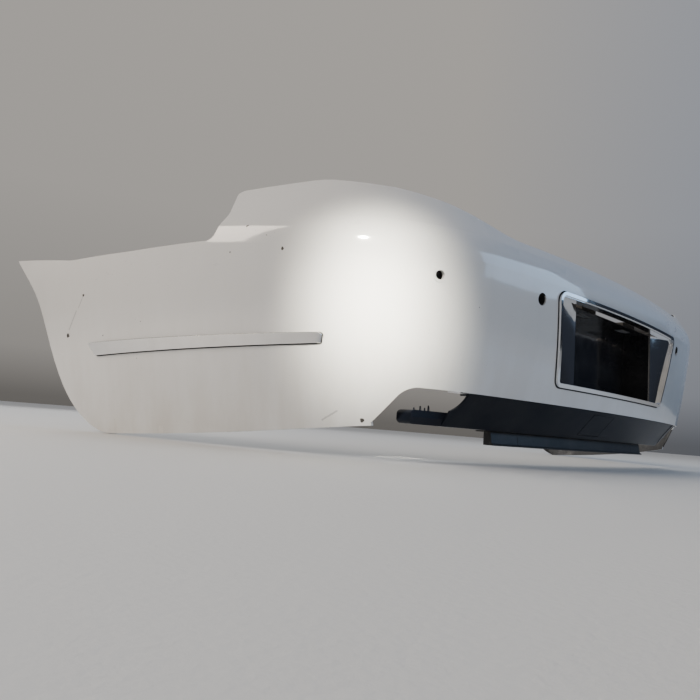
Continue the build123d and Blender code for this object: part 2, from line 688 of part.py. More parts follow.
def build_centre_support():
    """Stiffening rail under the top flange."""
    out = shoulder_out(MID_TOP_Z)
    high = MID_TOP_Z - WALL - FIT
    rail = outline_face([
        (out - 34, high), (out - 8, high), (out - 8, high - 2.5), (out - 31.5, high - 2.5),
        (out - 31.5, high - 16), (out - 34, high - 16),
    ])
    support = swept_across(rail, 385.0)
    for x in flange_holes():
        support = support - Pos(x, flange_line(x), high) * Cylinder(FLANGE_HOLE / 2, 20)
    return support


# ---- fasteners ---------------------------------------------------------------------------
def screw(head, shank, length):
    """Pan-head screw that points down, with the underside of its head at the origin."""
    top = Pos(0, 0, 1.4) * Cylinder(head / 2, 2.8)
    socket = Pos(0, 0, 2.2) * Cylinder(head / 5, 1.8)
    return top - socket + Pos(0, 0, -length / 2) * Cylinder(shank / 2, length)


def build_valance_screws():
    screws = []
    for x in valance_screw_sites():
        place = Pos(x, foot_line(x), MID_BOTTOM_Z + WALL)
        screws.append(place * screw(10.0, SCREW - 0.4, 12.0))
    return Compound(children=screws)


def tray_clip_sites():
    """X and Y of the push clips that hold the tray's upper lip to the valance's lower lip."""
    line = valance_outs()[1] - 28
    xs = [TRAY_CLIP_PITCH * (i - 3.5) for i in range(8)]
    return [(x, REAR_Y + x * x / (2 * MID_RADIUS) - line) for x in xs]


def tray_clip_holes():
    hole = Cylinder(TRAY_CLIP / 2 + 0.3, 16)
    return [Pos(x, y, VALANCE_BOTTOM_Z) * hole for x, y in tray_clip_sites()]


def build_tray_clips():
    clips = []
    for x, y in tray_clip_sites():
        head = Pos(0, 0, 1.2) * Cylinder(6.0, 2.4)
        stem = Pos(0, 0, -4.5) * Cylinder(TRAY_CLIP / 2, 9)
        clips.append(Pos(x, y, VALANCE_BOTTOM_Z + WALL) * (head + stem))
    return Compound(children=clips)


def arch_screw_sites():
    """Share of the way down the arch of each screw."""
    return (0.12, 0.34, 0.56, 0.78)


def arch_frame(share):
    """A plane on the middle of the arch lip: Z square to the lip, into the wheel arch."""
    arch = arch_curve()
    point, along = arch @ share, arch % share
    y, z = point.X, point.Y
    length = wing_place(y, min(z, 330))
    x, _, _ = plan_point(length, face_out(min(z, 334)) - 11)
    normal = Vector(0, -along.Y, along.X)
    if normal.Y < 0:
        normal = normal * -1
    return Plane(origin=(x, REAR_Y + y, z), x_dir=(1, 0, 0), z_dir=normal)


def arch_hole(share, radius):
    return arch_frame(share).location * Cylinder(radius, 16)


def build_arch_nuts():
    """Clip nuts pushed over the arch lip at each liner screw hole."""
    nuts = []
    for share in arch_screw_sites():
        leaf = Pos(0, 0, -5.0) * (Box(10, 10, 1.0) + Pos(0, 0, -1.6) * Cylinder(3.6, 2.4))
        nuts.append(arch_frame(share).location * (leaf - Cylinder(2.1, 30)))
    return Compound(children=nuts)


def build_top_rivets():
    rivets = []
    for x in flange_holes()[1:-1]:
        for offset in (-26.0, 26.0):
            place = x + offset
            y = REAR_Y + place * place / (2 * MID_RADIUS) - shoulder_out(MID_TOP_Z) + 16
            head = Pos(0, 0, 0.9) * Cylinder(4.5, 1.8)
            rivets.append(Pos(place, y, MID_TOP_Z) * head)
    return Compound(children=rivets)


# ---- write every node --------------------------------------------------------------------
def write(name, shape):
    export_step(shape, os.path.join("parts", name + ".step"))


def main():
    keep = wing_keep() + rear_keep()
    write("bumper_skin", build_skin(keep))
    write("plate_surround", build_surround())
    gasket = swept_across(layer(0.1, 0.7, 140, 334), PLATE_TOP_HALF + 30)
    ring = rear_prism(plate_outline(2.0), -60, 90) - rear_prism(plate_outline(-4.0), -60, 90)
    write("plate_gasket", gasket & ring)
    write("plate_box", build_box())
    write("plate_screw_inserts", build_inserts())
    write("plate_surround_clips", build_surround_clips())
    for name, side in (("left", -1), ("right", 1)):
        write("plate_lamp_housing_" + name, build_lamp(side))
        write("plate_lamp_lens_" + name, build_lens(side))
        write("plate_lamp_bulb_" + name, build_lamp_bulb(side))
    write("lower_valance", build_valance())
    write("tow_flap", build_flap())
    write("tow_flap_hinge", build_flap_hinge())
    write("tray_centre", build_tray_centre())
    write("top_support_rail", build_centre_support())
    write("top_rivets", build_top_rivets())
    write("valance_screws", build_valance_screws())
    write("tray_clips", build_tray_clips())
    left = {
        "side_strip": build_strip(0.0, 1.1, 5.0),
        "side_strip_seal": build_strip(1.2, 0.1, 0.9),
        "side_strip_clips": build_strip_clips(),
        "sensor_ring": build_sensor_ring(SENSOR_OUTER),
        "sensor_holder_inner": build_sensor_holder(SENSOR_INNER),
        "sensor_holder_outer": build_sensor_holder(SENSOR_OUTER),
        "tray_end": build_tray_end(),
        "side_guide": build_side_guide(wing_keep()),
        "lamp_corner_bracket": build_corner_bracket(),
        "arch_clip_nuts": build_arch_nuts(),
    }
    for name, shape in left.items():
        write(name + "_left", shape)
        write(name + "_right", mirror(shape, about=Plane.YZ))


main()
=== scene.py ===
"""Studio scene of a painted wrap-around rear bumper cover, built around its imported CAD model."""

import json
import logging
import math
from dataclasses import dataclass, field
from enum import Enum
from typing import Iterable, Sequence

import bmesh
import bpy
from mathutils import Matrix, Vector
from mathutils.bvhtree import BVHTree


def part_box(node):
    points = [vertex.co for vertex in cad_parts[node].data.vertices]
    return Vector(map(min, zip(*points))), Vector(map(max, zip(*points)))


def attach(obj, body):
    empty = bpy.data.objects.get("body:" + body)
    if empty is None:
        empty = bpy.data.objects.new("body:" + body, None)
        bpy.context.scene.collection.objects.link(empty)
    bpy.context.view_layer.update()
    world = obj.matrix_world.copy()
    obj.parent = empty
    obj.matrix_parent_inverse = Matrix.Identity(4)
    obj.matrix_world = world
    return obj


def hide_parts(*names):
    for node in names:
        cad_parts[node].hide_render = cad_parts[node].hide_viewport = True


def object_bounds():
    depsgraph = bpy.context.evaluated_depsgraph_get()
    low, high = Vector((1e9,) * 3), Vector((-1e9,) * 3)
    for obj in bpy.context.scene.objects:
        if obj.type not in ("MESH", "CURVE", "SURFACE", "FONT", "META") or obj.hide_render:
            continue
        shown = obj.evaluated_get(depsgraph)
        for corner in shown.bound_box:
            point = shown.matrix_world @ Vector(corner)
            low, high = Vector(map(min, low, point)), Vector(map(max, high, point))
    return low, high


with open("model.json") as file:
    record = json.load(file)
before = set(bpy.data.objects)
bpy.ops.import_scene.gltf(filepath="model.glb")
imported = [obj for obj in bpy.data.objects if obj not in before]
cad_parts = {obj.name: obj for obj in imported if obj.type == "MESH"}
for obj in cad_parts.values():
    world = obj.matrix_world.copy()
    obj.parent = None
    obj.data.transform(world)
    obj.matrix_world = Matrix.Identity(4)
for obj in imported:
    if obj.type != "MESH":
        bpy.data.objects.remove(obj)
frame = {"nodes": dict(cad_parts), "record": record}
CAD_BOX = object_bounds()

LOG = logging.getLogger("bumper_cover")
NODES = frame["nodes"]
SIDES = ("left", "right")
MM = 0.001
COVER, FLAP = "cover", "tow_eye_flap"
Colour = tuple[float, float, float, float]
Tint = "Value | Sequence[float]"


# ---- shader expressions --------------------------------------------------------------------
class Graph:
    """The node tree of one material or world, with one method that adds any node."""

    def __init__(self, tree: bpy.types.NodeTree) -> None:
        """Start from an empty tree.

        Args:
            tree: the node tree to fill.
        """
        self.tree = tree
        self.tree.nodes.clear()

    def add(self, kind: str, settings: dict | None = None, inputs: dict | None = None) -> bpy.types.Node:
        """Add a node.

        Args:
            kind: the node's type name.
            settings: properties of the node, or a ramp's stops under "stops".
            inputs: values or links of its sockets, by name or number.

        Returns:
            The new node.
        """
        node = self.tree.nodes.new(kind)
        for name, value in (settings or {}).items():
            if name == "stops":
                self._set_stops(node.color_ramp, value)
            else:
                setattr(node, name, value)
        for key, value in (inputs or {}).items():
            if isinstance(value, Value):
                self.tree.links.new(value.socket, node.inputs[key])
            else:
                node.inputs[key].default_value = value
        return node

    @staticmethod
    def _set_stops(ramp: bpy.types.ColorRamp, stops: Sequence[tuple[float, float]]) -> None:
        """Give a ramp grey stops.

        Args:
            ramp: the colour ramp.
            stops: position and grey level of each stop, at least two.
        """
        while len(ramp.elements) < len(stops):
            ramp.elements.new(1.0)
        for element, (place, level) in zip(ramp.elements, stops):
            element.position = place
            element.color = (level, level, level, 1.0)

    def value(self, node: bpy.types.Node, output: int | str = 0) -> "Value":
        """Wrap one output of a node.

        Args:
            node: the node.
            output: its output, by name or number.

        Returns:
            The wrapped socket.
        """
        return Value(self, node.outputs[output])

    def place(self, scale: Sequence[float] = (1, 1, 1), turn: Sequence[float] = (0, 0, 0)) -> "Value":
        """Object coordinates, scaled and turned.

        Args:
            scale: factor along each axis.
            turn: rotation about each axis, in radians.

        Returns:
            The vector.
        """
        coordinates = self.value(self.add("ShaderNodeTexCoord"), "Object")
        inputs = {"Vector": coordinates, "Scale": scale, "Rotation": turn}
        return self.value(self.add("ShaderNodeMapping", None, inputs))

    def axis(self, name: str) -> "Value":
        """One Object coordinate, in metres.

        Args:
            name: X, Y or Z.

        Returns:
            The coordinate.
        """
        coordinates = self.value(self.add("ShaderNodeTexCoord"), "Object")
        return self.value(self.add("ShaderNodeSeparateXYZ", None, {0: coordinates}), name)

    def noise(self, size: float, detail: float = 3.0, rough: float = 0.5, vector: "Value | None" = None,
              distort: float = 0.0) -> "Value":
        """Fractal noise.

        Args:
            size: feature size in metres.
            detail: number of finer layers.
            rough: strength of the finer layers.
            vector: where to look it up, or plain Object coordinates.
            distort: warp of the pattern.

        Returns:
            The noise, about 0.5 in the middle.
        """
        where = vector or self.place()
        inputs = {
            "Vector": where, "Scale": 1.0 / size, "Detail": detail, "Roughness": rough, "Distortion": distort,
        }
        return self.value(self.add("ShaderNodeTexNoise", None, inputs), "Fac")

    def cells(self, size: float, feature: str = "F1", vector: "Value | None" = None) -> "Value":
        """Distance field of scattered cells.

        Args:
            size: cell size in metres.
            feature: the Voronoi feature.
            vector: where to look it up, or plain Object coordinates.

        Returns:
            The distance.
        """
        inputs = {"Vector": vector or self.place(), "Scale": 1.0 / size}
        return self.value(self.add("ShaderNodeTexVoronoi", {"feature": feature}, inputs), "Distance")

    def ramp(self, fac: "Value", *stops: tuple[float, float]) -> "Value":
        """Grey ramp.

        Args:
            fac: where to look it up.
            stops: position and grey level of each stop.

        Returns:
            The grey level.
        """
        return self.value(self.add("ShaderNodeValToRGB", {"stops": stops}, {"Fac": fac}))

    def blend(self, low: "Tint", high: "Tint", fac: "Value | float") -> "Value":
        """Mix two colours.

        Args:
            low: colour at 0.
            high: colour at 1.
            fac: the share of the second colour.

        Returns:
            The colour.
        """
        settings = {"data_type": "RGBA", "clamp_factor": True}
        return self.value(self.add("ShaderNodeMix", settings, {0: fac, 6: low, 7: high}), 2)

    def bump(self, height: "Value", distance: float, strength: float = 1.0) -> "Value":
        """Normal from a height.

        Args:
            height: the height field.
            distance: metres of relief for one unit of height.
            strength: share of the relief that is used.

        Returns:
            The normal.
        """
        inputs = {"Height": height, "Distance": distance, "Strength": strength}
        return self.value(self.add("ShaderNodeBump", None, inputs))

    def spot(self, centre: Sequence[float], radius: float, soft: float = 0.5) -> "Value":
        """A soft ball mask.

        Args:
            centre: place in metres.
            radius: where the mask reaches 0, in metres.
            soft: share of the radius over which it fades.

        Returns:
            The mask, 1 inside.
        """
        coordinates = self.value(self.add("ShaderNodeTexCoord"), "Object")
        gap = self.distance(coordinates, centre)
        return self.ramp(gap * (1.0 / radius), (1.0 - soft, 1.0), (1.0, 0.0))

    def streak(self, start: Sequence[float], end: Sequence[float], width: float) -> "Value":
        """A soft mask along a straight line.

        Args:
            start: first end, in metres.
            end: last end, in metres.
            width: half width where the mask reaches 0, in metres.

        Returns:
            The mask, 1 on the line.
        """
        line = Vector(end) - Vector(start)
        coordinates = self.value(self.add("ShaderNodeTexCoord"), "Object")
        offset = self.vector("SUBTRACT", coordinates, tuple(start))
        dot = self.value(self.add("ShaderNodeVectorMath", {"operation": "DOT_PRODUCT"}, {
            0: offset, 1: tuple(line / line.length_squared),
        }), "Value")
        along = dot.above(0.0, 1.0)
        scaling = {"operation": "SCALE"}
        foot = self.value(self.add("ShaderNodeVectorMath", scaling, {0: tuple(line), "Scale": along}))
        gap = self.distance(offset, foot)
        return 1.0 - gap.above(0.0, width)

    def distance(self, first: "Value", second: "Tint") -> "Value":
        """Distance between two points.

        Args:
            first: one point.
            second: the other point.

        Returns:
            The distance, in metres.
        """
        settings = {"operation": "DISTANCE"}
        return self.value(self.add("ShaderNodeVectorMath", settings, {0: first, 1: second}), "Value")

    def vector(self, operation: str, first: "Tint", second: "Tint") -> "Value":
        """A vector from two vectors.

        Args:
            operation: the Vector Math operation.
            first: the first vector.
            second: the second vector.

        Returns:
            The vector.
        """
        return self.value(self.add("ShaderNodeVectorMath", {"operation": operation}, {0: first, 1: second}))


class Value:
    """A shader socket that takes part in arithmetic."""

    def __init__(self, graph: Graph, socket: bpy.types.NodeSocket) -> None:
        """Wrap a socket.

        Args:
            graph: the graph it belongs to.
            socket: the output socket.
        """
        self.graph = graph
        self.socket = socket

    def _math(self, operation: str, *operands: "Value | float", clamp: bool = False) -> "Value":
        """Add a Math node.

        Args:
            operation: its operation.
            operands: its inputs, in order.
            clamp: keep the result between 0 and 1.

        Returns:
            The result.
        """
        inputs = dict(enumerate(operands))
        settings = {"operation": operation, "use_clamp": clamp}
        return self.graph.value(self.graph.add("ShaderNodeMath", settings, inputs))

    def __add__(self, other: "Value | float") -> "Value":
        """Sum."""
        return self._math("ADD", self, other)

    def __radd__(self, other: float) -> "Value":
        """Sum, reflected."""
        return self._math("ADD", other, self)

    def __sub__(self, other: "Value | float") -> "Value":
        """Difference."""
        return self._math("SUBTRACT", self, other)

    def __rsub__(self, other: float) -> "Value":
        """Difference, reflected."""
        return self._math("SUBTRACT", other, self)

    def __mul__(self, other: "Value | float") -> "Value":
        """Product."""
        return self._math("MULTIPLY", self, other)

    def __rmul__(self, other: float) -> "Value":
        """Product, reflected."""
        return self._math("MULTIPLY", other, self)

    def above(self, level: float, width: float) -> "Value":
        """Straight step from 0 to 1.

        Args:
            level: where it starts to rise.
            width: how far it takes to reach 1.

        Returns:
            The step.
        """
        return self._math("MULTIPLY", self - level, 1.0 / width, clamp=True)

    def most(self, other: "Value | float") -> "Value":
        """The larger of two values.

        Args:
            other: the other value.

        Returns:
            The larger one.
        """
        return self._math("MAXIMUM", self, other)


def new_material(name: str) -> tuple[bpy.types.Material, Graph]:
    """Make an empty node material.

    Args:
        name: its name.

    Returns:
        The material and its graph.
    """
    material = bpy.data.materials.new(name)
    material.use_nodes = True
    return material, Graph(material.node_tree)


def surface(graph: Graph, inputs: dict) -> None:
    """Finish a graph with a Principled shader.

    Args:
        graph: the graph.
        inputs: sockets of the shader.
    """
    shader = graph.add("ShaderNodeBsdfPrincipled", None, inputs)
    graph.add("ShaderNodeOutputMaterial", None, {"Surface": graph.value(shader)})


# ---- finishes ------------------------------------------------------------------------------
@dataclass(frozen=True)
class Chip:
    """A small flake out of the paint."""

    centre: tuple[float, float, float]
    radius: float


@dataclass(frozen=True)
class Scratch:
    """A drawn-out scrape through the clear coat."""

    start: tuple[float, float, float]
    end: tuple[float, float, float]
    width: float


@dataclass(frozen=True)
class PaintFinish:
    """White paint under clear coat, with dust, rubbed patches, scratches and chips."""

    name: str = "white_paint"
    base: Colour = (0.83, 0.83, 0.82, 1.0)
    film: Colour = (0.50, 0.46, 0.39, 1.0)
    scuff: Colour = (0.30, 0.30, 0.31, 1.0)
    bare: Colour = (0.035, 0.030, 0.026, 1.0)
    chips: tuple[Chip, ...] = (
        Chip((-0.9152, 0.2479, 0.1811), 0.0075),
        Chip((-0.7832, -0.1487, 0.3663), 0.0055),
        Chip((-0.7490, -0.2079, 0.3251), 0.0045),
        Chip((-0.6277, -0.2975, 0.0599), 0.0060),
        Chip((-0.9136, 0.1967, 0.2565), 0.0050),
        Chip((0.7100, -0.2600, 0.2100), 0.0050),
        Chip((0.8900, 0.1800, 0.0900), 0.0060),
    )
    scratches: tuple[Scratch, ...] = (
        Scratch((-0.9153, 0.2193, 0.2268), (-0.9160, 0.2434, 0.1925), 0.0030),
        Scratch((-0.9136, 0.1967, 0.2565), (-0.9150, 0.2120, 0.2330), 0.0022),
        Scratch((-0.6584, -0.2697, 0.0713), (-0.6700, -0.2500, 0.0560), 0.0026),
        Scratch((0.8600, 0.0300, 0.1300), (0.8900, 0.1200, 0.1080), 0.0024),
    )

    def build(self) -> bpy.types.Material:
        """Make the material.

        Returns:
            The material.
        """
        material, graph = new_material(self.name)
        height = graph.axis("Z")
        # road film: heavier towards the lower edge, drawn down by rain
        runs = graph.noise(0.05, 5.0, 0.62, graph.place((1.0, 1.0, 0.18)))
        cloud = graph.noise(0.22, 4.0, 0.55)
        low = 1.0 - height.above(0.01, 0.26)
        film = (low * 0.22 + 0.05) * runs.above(0.34, 0.3) + low * low * cloud.above(0.42, 0.3) * 0.22
        speck = graph.cells(0.0042).above(0.0, 1.0)
        dust = (1.0 - speck).above(0.86, 0.10) * graph.noise(0.09, 3.0).above(0.47, 0.16) * 0.35
        body = graph.blend(self.base, self.film, film + dust)
        # rubbed patches and long fine scratches
        rub = graph.noise(0.035, 7.0, 0.72, graph.place((1.0, 0.35, 1.6), (0.25, 0.1, 0.2)), 0.6)
        rubbed = rub.above(0.64, 0.05) * graph.noise(0.17, 2.0).above(0.48, 0.12)
        hair = graph.noise(0.0016, 2.0, 0.5, graph.place((1.0, 0.022, 0.7), (0.5, 0.0, 0.35)))
        scrape = self._scrapes(graph)
        scratch = (hair.above(0.72, 0.02) * graph.noise(0.12, 2.0).above(0.52, 0.08)).most(scrape)
        body = graph.blend(body, self.scuff, rubbed * 0.30 + scratch * 0.62)
        bare = self._chips(graph)
        colour = graph.blend(body, self.bare, bare)
        rough = 0.10 + film * 0.5 + dust * 0.6 + rubbed * 0.32 + scratch * 0.3 + bare * 0.45
        peel = graph.noise(0.0021, 2.0, 0.45)
        wave = graph.noise(0.06, 1.0, 0.3)
        relief = peel * 0.016 + wave * 0.55 - bare * 0.10 - scratch * 0.02 - rubbed * 0.004
        surface(graph, {
            "Base Color": colour, "Roughness": rough,
            "Coat Weight": 1.0 - (film + rubbed + bare + scratch * 0.5).above(0.0, 0.9),
            "Coat Roughness": 0.035, "Coat IOR": 1.5, "IOR": 1.5, "Normal": graph.bump(relief, 0.0010),
        })
        return material

    def _scrapes(self, graph: Graph) -> Value:
        """Mask of the drawn-out scrapes.

        Args:
            graph: the graph.

        Returns:
            The mask.
        """
        ragged = graph.noise(0.0035, 4.0, 0.7) - 0.5
        masks = [graph.streak(s.start, s.end, s.width) for s in self.scratches]
        total = (masks[0] + ragged * 1.2).above(0.40, 0.15)
        for mask in masks[1:]:
            total = total.most((mask + ragged * 1.2).above(0.40, 0.15))
        return total

    def _chips(self, graph: Graph) -> Value:
        """Mask of the bare plastic that shows in the chips.

        Args:
            graph: the graph.

        Returns:
            The mask.
        """
        edge = graph.noise(0.004, 4.0, 0.7) - 0.5
        mask = (graph.cells(0.031) + edge * 0.16).above(0.0, 1.0)
        sparse = (1.0 - mask).above(0.945, 0.02) * graph.noise(0.10, 2.0).above(0.585, 0.03)
        for chip in self.chips:
            ball = graph.spot(chip.centre, chip.radius, 0.9)
            sparse = sparse.most((ball + edge * 1.3).above(0.42, 0.08))
        return sparse


@dataclass(frozen=True)
class InnerFinish:
    """Bare inner side of the painted cover: grey-black moulding with drifts of overspray."""

    name: str = "inner_side"
    base: Colour = (0.030, 0.030, 0.031, 1.0)
    spray: Colour = (0.50, 0.50, 0.49, 1.0)
    dirt: Colour = (0.17, 0.155, 0.13, 1.0)

    def build(self) -> bpy.types.Material:
        """Make the material.

        Returns:
            The material.
        """
        material, graph = new_material(self.name)
        drift = graph.noise(0.13, 6.0, 0.68)
        mist = graph.noise(0.0016, 2.0, 0.6)
        spray = (drift * 0.8 + mist * 0.35).above(0.60, 0.22)
        dust = graph.noise(0.04, 5.0, 0.6).above(0.5, 0.3)
        soiled = graph.blend(self.base, self.dirt, dust * 0.35)
        surface(graph, {
            "Base Color": graph.blend(soiled, self.spray, spray * 0.6),
            "Roughness": 0.48 + dust * 0.2 + spray * 0.15, "IOR": 1.48,
            "Normal": graph.bump(graph.noise(0.0012, 3.0) * 0.6 + graph.noise(0.02, 2.0), 0.0003),
        })
        return material


@dataclass(frozen=True)
class ChromeFinish:
    """Bright plating with faint wiping haze and pin specks."""

    name: str = "bright_trim"
    base: Colour = (0.78, 0.78, 0.78, 1.0)
    haze: Colour = (0.52, 0.50, 0.46, 1.0)

    def build(self) -> bpy.types.Material:
        """Make the material.

        Returns:
            The material.
        """
        material, graph = new_material(self.name)
        wipe = graph.noise(0.03, 5.0, 0.65, graph.place((0.35, 1.0, 1.0), (0, 0.2, 0.1))).above(0.42, 0.4)
        specks = (1.0 - graph.cells(0.005)).above(0.90, 0.06) * graph.noise(0.07).above(0.5, 0.14)
        surface(graph, {
            "Base Color": graph.blend(self.base, self.haze, wipe * 0.28 + specks * 0.5),
            "Metallic": 1.0 - specks * 0.4,
            "Roughness": 0.045 + wipe * 0.10 + specks * 0.35,
            "Normal": graph.bump(graph.noise(0.05, 1.0) * 0.5 + specks * 0.03, 0.0005),
        })
        return material


class Grain(Enum):
    """Mould texture of a plastic part."""

    FINE = 0.0009
    LEATHER = 0.0022
    SMOOTH = 0.0005


@dataclass(frozen=True)
class PlasticFinish:
    """Moulded black plastic with grain, dust and pale rub marks."""

    name: str
    base: Colour
    grain: Grain
    rough: float
    relief: float
    dust: float = 0.35
    wear: Colour = (0.20, 0.20, 0.20, 1.0)
    gloss: float = 0.5
    dirt: Colour = (0.23, 0.21, 0.18, 1.0)

    def build(self) -> bpy.types.Material:
        """Make the material.

        Returns:
            The material.
        """
        material, graph = new_material(self.name)
        cell = graph.cells(self.grain.value, "SMOOTH_F1")
        fine = graph.noise(self.grain.value * 1.7, 3.0, 0.6)
        patch = graph.noise(0.09, 5.0, 0.62)
        dusty = patch.above(0.40, 0.35) * self.dust
        streak = graph.noise(0.004, 3.0, 0.6, graph.place((0.06, 1.0, 1.0), (0.3, 0.1, 0.05)))
        rub = streak.above(0.66, 0.06) * graph.noise(0.14, 2.0).above(0.50, 0.12)
        colour = graph.blend(graph.blend(self.base, self.dirt, dusty), self.wear, rub * 0.45)
        normal = graph.bump(cell * 0.8 + fine * 0.5 - rub * 0.3, self.relief)
        surface(graph, {
            "Base Color": colour, "Roughness": self.rough + dusty * 0.3 + fine * 0.10 - rub * 0.08,
            "IOR": 1.48, "Specular IOR Level": self.gloss, "Normal": normal,
        })
        return material


@dataclass(frozen=True)
class GlossBlackFinish:
    """Polished black plastic with dust that has settled and fine swirls."""

    name: str = "gloss_black"
    base: Colour = (0.012, 0.012, 0.014, 1.0)
    dust: Colour = (0.22, 0.21, 0.19, 1.0)

    def build(self) -> bpy.types.Material:
        """Make the material.

        Returns:
            The material.
        """
        material, graph = new_material(self.name)
        film = graph.noise(0.06, 6.0, 0.66).above(0.45, 0.35)
        specks = (1.0 - graph.cells(0.0036)).above(0.88, 0.08)
        cover = film * 0.10 + specks * film * 0.5
        surface(graph, {
            "Base Color": graph.blend(self.base, self.dust, cover),
            "Roughness": 0.09 + film * 0.14 + specks * 0.2, "IOR": 1.5,
            "Normal": graph.bump(graph.noise(0.04, 1.0) + specks * 0.02, 0.0006),
        })
        return material


@dataclass(frozen=True)
class RubberFinish:
    """Matt black sealing rubber, chalky where dust clings."""

    name: str = "black_rubber"
    base: Colour = (0.016, 0.016, 0.017, 1.0)
    chalk: Colour = (0.12, 0.12, 0.11, 1.0)

    def build(self) -> bpy.types.Material:
        """Make the material.

        Returns:
            The material.
        """
        material, graph = new_material(self.name)
        bloom = graph.noise(0.012, 5.0, 0.65).above(0.45, 0.3)
        pores = graph.noise(0.0007, 3.0)
        surface(graph, {
            "Base Color": graph.blend(self.base, self.chalk, bloom * 0.35),
            "Roughness": 0.62 + bloom * 0.25, "IOR": 1.45,
            "Normal": graph.bump(pores, 0.0002),
        })
        return material


@dataclass(frozen=True)
class GlassFinish:
    """Clear moulded lens or bulb with a trace of dust."""

    name: str
    tint: Colour
    ripple: float
    dust: Colour = (0.55, 0.53, 0.48, 1.0)
    flutes_per_metre: float = 130.0

    def build(self) -> bpy.types.Material:
        """Make the material.

        Returns:
            The material.
        """
        material, graph = new_material(self.name)
        film = graph.noise(0.01, 5.0, 0.6).above(0.45, 0.3)
        flutes = graph.value(graph.add("ShaderNodeTexWave", {"bands_direction": "X"}, {
            "Vector": graph.place(), "Scale": self.flutes_per_metre, "Distortion": 0.2,
        }), "Fac")
        surface(graph, {
            "Base Color": graph.blend(self.tint, self.dust, film * 0.25),
            "Roughness": 0.05 + film * 0.22, "IOR": 1.49, "Transmission Weight": 0.85,
            "Normal": graph.bump(flutes * self.ripple + film * 0.03, 0.0008),
        })
        return material


@dataclass(frozen=True)
class SteelFinish:
    """Zinc-plated steel, spangled, with rust that starts in the dull places."""

    name: str = "zinc_steel"
    base: Colour = (0.50, 0.49, 0.46, 1.0)
    dull: Colour = (0.36, 0.36, 0.35, 1.0)
    rust: Colour = (0.20, 0.085, 0.035, 1.0)

    def build(self) -> bpy.types.Material:
        """Make the material.

        Returns:
            The material.
        """
        material, graph = new_material(self.name)
        spangle = graph.cells(0.0035, "F1")
        spots = graph.noise(0.006, 6.0, 0.7).above(0.60, 0.07) * graph.noise(0.05).above(0.46, 0.2)
        zinc = graph.blend(self.base, self.dull, spangle)
        surface(graph, {
            "Base Color": graph.blend(zinc, self.rust, spots * 0.8),
            "Metallic": 1.0 - spots * 0.9,
            "Roughness": 0.26 + spangle * 0.2 + spots * 0.4,
            "Normal": graph.bump(graph.noise(0.0012, 4.0) * 0.5 + spots * 0.4, 0.0002),
        })
        return material


# ---- studio --------------------------------------------------------------------------------
@dataclass(frozen=True)
class SoftBox:
    """One area light that looks at the middle of the cover."""

    name: str
    place: tuple[float, float, float]
    size: tuple[float, float]
    power: float
    colour: tuple[float, float, float] = (1.0, 1.0, 1.0)
    aim: tuple[float, float, float] = (0.0, -0.1, 0.25)
    spread: float = 180.0

    def build(self) -> None:
        """Add the light."""
        light = bpy.data.lights.new(self.name, "AREA")
        light.shape = "RECTANGLE"
        light.size, light.size_y = self.size
        light.energy = self.power
        light.color = self.colour
        light.spread = math.radians(self.spread)
        lamp = bpy.data.objects.new(self.name, light)
        bpy.context.scene.collection.objects.link(lamp)
        lamp.location = self.place
        lamp.rotation_euler = (Vector(self.place) - Vector(self.aim)).to_track_quat("Z", "Y").to_euler()


